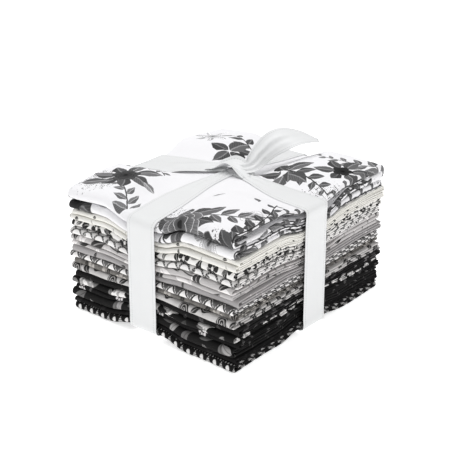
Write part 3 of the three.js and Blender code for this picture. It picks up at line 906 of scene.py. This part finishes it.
def ribbon_mesh(name, middle, across, width, profile, columns=STRIP["columns"]):
    """A closed thin strip, from its middle, across and width at each row. profile lifts its columns."""
    ahead = unit(np.gradient(middle, axis=0))
    across = unit(across - (across * ahead).sum(1)[:, None] * ahead)
    out = np.cross(across, ahead)
    even = np.linspace(-1, 1, columns)
    share = mix(even, np.sin(even * math.pi / 2), STRIP["crowded"])
    share[[1, -2]] = -STRIP["beside_edge"], STRIP["beside_edge"]
    rows = len(middle)
    lift = profile(share[None, :], np.arange(rows)[:, None] / (rows - 1))
    surface = (
        middle[:, None, :]
        + across[:, None, :] * (share[None, :, None] * width[:, None, None] / 2)
        + out[:, None, :] * lift[:, :, None]
    )
    thin = np.clip(1 + STRIP["edge_thin"] - np.abs(share) ** STRIP["edge_sharp"], STRIP["edge_thin"], 1)
    half_thick = out[:, None, :] * (RIBBON["thick"] / 2 * np.sqrt(thin))[None, :, None]
    points = np.concatenate([(surface + half_thick).reshape(-1, 3), (surface - half_thick).reshape(-1, 3)])
    upper = grid_faces(rows, columns)
    lower = upper[:, ::-1] + rows * columns
    border = border_loop(rows, columns)
    after = np.roll(border, -1)
    walls = np.stack([border, border + rows * columns, after + rows * columns, after], 1)
    along = measured(middle)
    flat_place = np.stack(np.meshgrid(share * RIBBON["width"] / 2, along), -1).reshape(-1, 2)
    prints = np.tile(flat_place, (2, 1))
    return mesh_object(name, points, np.concatenate([upper, lower, walls]), prints), along[-1]


def border_loop(rows, columns):
    """The border points of a grid in order, so that the walls face outwards."""
    first = np.arange(columns)
    right = np.arange(1, rows) * columns + columns - 1
    last = (rows - 1) * columns + np.arange(columns - 2, -1, -1)
    left = np.arange(rows - 2, 0, -1) * columns
    return np.concatenate([first, right, last, left])


def resampled(points, values, step):
    """A smooth curve through a few points, at even steps, with the other values carried along it."""
    along = measured(points)
    at = np.linspace(0, along[-1], int(along[-1] / step))
    table = np.concatenate([points, values], 1)
    slopes = np.gradient(table, along, axis=0)
    cell = np.clip(np.searchsorted(along, at) - 1, 0, len(along) - 2)
    span = (along[cell + 1] - along[cell])[:, None]
    t = (at - along[cell])[:, None] / span
    curve = (
        (2 * t**3 - 3 * t**2 + 1) * table[cell]
        + (t**3 - 2 * t**2 + t) * span * slopes[cell]
        + (3 * t**2 - 2 * t**3) * table[cell + 1]
        + (t**3 - t**2) * span * slopes[cell + 1]
    )
    return curve[:, :3], curve[:, 3:]


RUN = {"widens": 1.25, "step": 1.6, "droop": 0.1, "gather": 1.5, "under": 0.95}
# A run lies on the stack's top as wide as it is, where it is level, and less so as it steepens.
LEVEL = {"steepest": 0.6, "over": 0.4}
# The knot lies a little to +X +Y of where the runs would cross, and draws them over to it.
KNOT = {"x": 1.6, "y": 6.7, "draws": 55, "clear": 4, "pleats": 3, "pleat": 0.4, "up": 1.45}
KNOT_AT = {"x": RIBBON["x"] + KNOT["x"], "y": RIBBON["y"] + KNOT["y"]}
LENGTHWISE = {"reach": HALF["deep"], "proud": 2.5, "corner": 4.5, "low_corner": 4}
CROSSWISE = {"reach": HALF["wide"], "proud": 3.0, "corner": 1.6, "low_corner": 1.6}
UNDERLAY = {"flat_to": 47, "rises_over": 12, "from": 12, "short_of_corner": 4}


def stack_top(x, y):
    return tied(x, y, LOOSE_HEIGHT)[2]


def follow_top(middle, across, width, share):
    """How far each column of a strip is lifted to lie on the stack as its middle does."""
    x, y = (middle[:, i, None] + across[:, i, None] * share * width[:, None] / 2 for i in range(2))
    on_stack = stack_top(x, y) - stack_top(middle[:, 0], middle[:, 1])[:, None]
    return on_stack - RUN["droop"] * share**4


def half_run(run, sign):
    """One end of a run: from beside the knot over the top, down a side and under towards the middle."""
    face = run["reach"] * (1 - SIDE_PINCH) + run["proud"]
    corner, low_corner = run["corner"], run["low_corner"]
    top_end, low_end = run["reach"] - corner, run["reach"] - low_corner
    ahead, down = np.linspace(0, 1, 24), np.linspace(0, 1, 12)[1:-1]
    over = mix(run["knot"] + sign * KNOT["clear"], sign * top_end, ahead)
    below_it = sign * np.linspace(low_end - UNDERLAY["short_of_corner"], UNDERLAY["from"], 14)
    high, low = run["top"](over[-1]), run["under"](sign * run["reach"])
    turn = np.radians(np.linspace(0, 90, 7))
    places, heights = np.concatenate([
        (over, run["top"](over)),
        (sign * mix(top_end, face, np.sin(turn[1:])), high - corner * (1 - np.cos(turn[1:]))),
        (np.full(len(down), sign * face), mix(high - corner, low + low_corner, down)),
        (sign * mix(low_end, face, np.cos(turn)), low + low_corner * (1 - np.sin(turn))),
        (below_it, run["under"](below_it)),
    ], axis=1)
    widths = np.full(len(places), float(RIBBON["width"]))
    widths[:len(ahead)] = mix(RIBBON["neck"], RIBBON["width"], smooth(ahead * RUN["widens"]))
    return np.stack([places, heights, widths], 1)


def band(name, run):
    rows = np.concatenate([half_run(run, -1), half_run(run, 1)[::-1]])
    on_top = rows[:, 1] > STACK_HEIGHT / 2
    middle = np.stack([*run["place"](rows[:, 0], on_top), rows[:, 1]], 1)
    middle, width = resampled(middle, rows[:, 2:], RUN["step"])
    width = width[:, 0]
    across = np.broadcast_to(np.array(run["across"], float), middle.shape)
    narrowed = np.clip((RIBBON["width"] - width) / (RIBBON["width"] - RIBBON["neck"]), 0, 1)
    gathered = narrowed[:, None] ** RUN["gather"]
    slope = np.abs(np.gradient(middle[:, 2])) / RUN["step"]
    level = smooth((LEVEL["steepest"] - slope) / LEVEL["over"]) * (middle[:, 2] > STACK_HEIGHT / 2)

    def profile(share, t):
        pleats = np.cos(share * math.pi * KNOT["pleats"] + run["phase"])
        gathers = gathered * KNOT["pleat"] * (1 + pleats)
        return gathers + level[:, None] * follow_top(middle, across, width, share)

    return ribbon_mesh(name, middle, across, width, profile)


def crosswise_under(x):
    hugging = under_rise(x, RIBBON["y"]) - RUN["under"]
    resting = RIBBON["thick"] / 2
    return mix(resting, hugging, smooth((abs(x) - UNDERLAY["flat_to"]) / UNDERLAY["rises_over"]))


def drawn(distance):
    """How far the knot draws a run over, by the distance from it."""
    return 1 - smooth(np.abs(distance) / KNOT["draws"])


def middle_x(y):
    return RIBBON["x"] + KNOT["x"] * drawn(y - KNOT_AT["y"])


def middle_y(x):
    return RIBBON["y"] + KNOT["y"] * drawn(x - KNOT_AT["x"])


LENGTHWISE |= {
    "knot": KNOT_AT["y"],
    "across": (-1, 0, 0),
    "phase": 0.4,
    "place": lambda s, on_top: (np.where(on_top, middle_x(s), RIBBON["x"]), s),
    "top": lambda y: stack_top(middle_x(y), y),
    "under": lambda y: under_rise(RIBBON["x"], y) - RUN["under"],
}
CROSSWISE |= {
    "knot": KNOT_AT["x"],
    "across": (0, 1, 0),
    "phase": 1.1,
    "place": lambda s, on_top: (s, np.where(on_top, middle_y(s), RIBBON["y"])),
    "top": lambda x: stack_top(x, middle_y(x)),
    "under": crosswise_under,
}

# The free ends, from inside the knot outwards: place from the knot's middle, height, how far the strip's
# left edge is turned below its right one in degrees, and width. Heights of the right one are from the
# arm under the knot, and those of the left one from the stack's top, which it lies on.
TAILS = {
    "tail_right": [
        (4.5, 1.3, 1.4, -20, 9),
        (10.7, 5, 3.3, -38, 11),
        (12.7, 14.4, 9.3, -54, 14),
        (13.9, 26, 13.6, -44, 17),
        (18, 37.5, 15.6, -23, 19),
        (22.3, 48.5, 13.7, -11, 17),
        (27, 56.5, 10.1, -5, 8),
    ],
    "tail_left": [
        (-4, -1.5, 1.4, 8, 11),
        (-11, -4.5, 1.1, 8, 14),
        (-21, -9.5, 0.7, 3, 17),
        (-32, -14, 0.6, 0, 19),
        (-43, -17, 0.6, 0, 20),
        (-53, -16.5, 0.6, 0, 20),
        (-61.5, -15, 0.6, 0, 19),
    ],
}
# How the free ends are gathered at their roots and how far the left one's near edge hangs down. The right
# one has creases along it, with their depths, and places and widths in shares of half its width.
ROOT = {"high": 0.5, "fade": 7, "turns": 9}
NEAR_EDGE_DROOP = 0.85
CREASES = [(1.3, 0.22, 0.17), (0.6, -0.4, 0.14)]
CREASE_FADE = 0.45
KNOT_BASE = stack_top(RIBBON["x"], RIBBON["y"]) + KNOT["up"]
# The last strand of the knot, which sweeps from the left end over to the +X arm: place from the
# knot's middle, height and width.
KNOT_STRAND = [
    (-15, -4.6, -1.2, 13),
    (-10.5, -3.4, 0.1, 14),
    (-5.5, -1.6, 1.8, 15),
    (0, -0.3, 3.2, 15.5),
    (5, 0, 2.5, 15),
    (10, -0.5, 0.5, 13),
    (14.5, -1.1, -1.7, 11.5),
]
# The strand's folds: height, turns across, phase, and how they change along it. Its edges are tucked in.
KNOT_FOLDS = [(0.34, 8, 0.6, 1.8), (0.16, 17, 0, -2.6)]
KNOT_TUCK = {"edges": 0.85, "least": 0.4, "power": 2.4, "right_edge": 0.8}
KNOT_MESH = {"step": 0.7, "columns": 31}


def level_across(ahead):
    """Level directions to the left of those ahead."""
    return unit(np.stack([-ahead[:, 1], ahead[:, 0], np.zeros(len(ahead))], 1))


def tail(name):
    table = np.array(TAILS[name], float)
    is_laid = name == "tail_left"
    points = table[:, :3] + (KNOT_AT["x"], KNOT_AT["y"], 0 if is_laid else KNOT_BASE)
    middle, other = resampled(points, table[:, 3:], RUN["step"])
    if is_laid:
        middle[:, 2] += stack_top(middle[:, 0], middle[:, 1])
    ahead = unit(np.gradient(middle, axis=0))
    level = level_across(ahead)
    tilt = -np.radians(other[:, 0])[:, None]
    across = level * np.cos(tilt) + np.cross(ahead, level) * np.sin(tilt)
    width = other[:, 1]

    def profile(share, t):
        root = ROOT["high"] * np.exp(-t * ROOT["fade"]) * np.cos(share * ROOT["turns"])
        if is_laid:
            near_edge = NEAR_EDGE_DROOP * np.clip(share, 0, 1) ** 2
            return root - near_edge + follow_top(middle, across, width, share)
        crease = sum(deep * np.exp(-(((share - at) / wide) ** 2)) for deep, at, wide in CREASES)
        return root - crease * (1 - t * CREASE_FADE)

    return ribbon_mesh(f"satin_{name}", middle, across, width, profile)


def knot():
    table = np.array(KNOT_STRAND, float)
    points = table[:, :3] + (KNOT_AT["x"], KNOT_AT["y"], KNOT_BASE)
    middle, width = resampled(points, table[:, 3:], KNOT_MESH["step"])
    across = level_across(np.gradient(middle, axis=0))
    height = np.maximum(middle[:, 2] - KNOT_BASE, 0)[:, None]

    def profile(share, t):
        folds = sum(
            high * np.cos(share * turns + phase + along * t) for high, turns, phase, along in KNOT_FOLDS
        )
        edges = (KNOT_TUCK["edges"] * height + KNOT_TUCK["least"]) * np.abs(share) ** KNOT_TUCK["power"]
        return folds - edges - KNOT_TUCK["right_edge"] * np.clip(-share, 0, 1) ** 2

    return ribbon_mesh("satin_knot", middle, across, width[:, 0], profile, KNOT_MESH["columns"])


def declare(piece, node, material):
    piece.data.materials.append(material)
    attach(piece, "root")
    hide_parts(node)


def camera():
    data = bpy.data.cameras.new("camera")
    data.sensor_width = SENSOR
    data.lens = FOCAL_PIXELS / PICTURE * SENSOR
    data.clip_start = 0.01
    eye = bpy.data.objects.new("camera", data)
    azimuth, elevation = math.radians(CAMERA["azimuth"]), math.radians(CAMERA["elevation"])
    back = Vector((
        math.sin(azimuth) * math.cos(elevation),
        -math.cos(azimuth) * math.cos(elevation),
        math.sin(elevation),
    ))
    eye.rotation_euler = (-back).to_track_quat("-Z", "Y").to_euler()
    eye.location = CAMERA["place"]
    bpy.context.scene.collection.objects.link(eye)
    bpy.context.scene.camera = eye


# The studio, in metres and watts.
FLOOR = {
    "Base Color": (0.9, 0.9, 0.9, 1),
    "Roughness": 0.9,
    "Emission Color": (1, 1, 1, 1),
    "Emission Strength": 0.6,
}
FLOOR_REACH = 3
SURROUNDINGS = {"Color": (1, 1, 1, 1), "Strength": 0.6}
LIGHTS = {
    "top_light": {"place": (-0.2, 0.1, 1.3), "size": 0.9, "power": 9},
    "front_light": {"place": (0.9, -0.8, 0.7), "size": 0.8, "power": 1.6},
}
LIGHTS_AIM = Vector((0, 0, 0.05))


def area_light(name, row):
    data = bpy.data.lights.new(name, "AREA")
    data.shape = "DISK"
    data.size = row["size"]
    data.energy = row["power"]
    light = bpy.data.objects.new(name, data)
    light.location = row["place"]
    light.rotation_euler = (LIGHTS_AIM - light.location).to_track_quat("-Z", "Y").to_euler()
    bpy.context.scene.collection.objects.link(light)


def stage():
    """A white floor that glows a little, as a light table does, and soft light from all round."""
    mesh = bpy.data.meshes.new("floor")
    corners = [(x * FLOOR_REACH, y * FLOOR_REACH, 0) for x, y in ((-1, -1), (1, -1), (1, 1), (-1, 1))]
    mesh.from_pydata(corners, [], [(0, 1, 2, 3)])
    floor = bpy.data.objects.new("floor", mesh)
    material, tree, shader = new_material("white_floor")
    set_inputs(tree, shader, FLOOR)
    mesh.materials.append(material)
    bpy.context.scene.collection.objects.link(floor)
    world = bpy.data.worlds.new("studio")
    world.use_nodes = True
    set_inputs(world.node_tree, world.node_tree.nodes["Background"], SURROUNDINGS)
    bpy.context.scene.world = world
    for name, row in LIGHTS.items():
        area_light(name, row)


def build():
    camera()
    stage()
    top = LOOSE_HEIGHT
    for number, piece in enumerate(PIECES, 1):
        top -= piece["thick"]
        cloth, places = folded_cloth(f"cloth_{number:02d}", piece, number, top)
        declare(cloth, f"fat_quarter_{number:02d}", cotton(number, places))
    white = satin()
    ribbons = [
        ("ribbon_lengthwise", band("satin_lengthwise", LENGTHWISE), "stretched", "cloth_01"),
        ("ribbon_crosswise", band("satin_crosswise", CROSSWISE), "stretched", "cloth_01"),
        ("ribbon_knot", knot(), "gathered", "satin_lengthwise"),
        ("ribbon_tail_right", tail("tail_right"), "draped", "satin_knot"),
        ("ribbon_tail_left", tail("tail_left"), "laid", "satin_crosswise"),
    ]
    for node, (piece, length), held, under_it in ribbons:
        declare(piece, node, white)


build()
bpy.context.scene.view_settings.view_transform = "Standard"
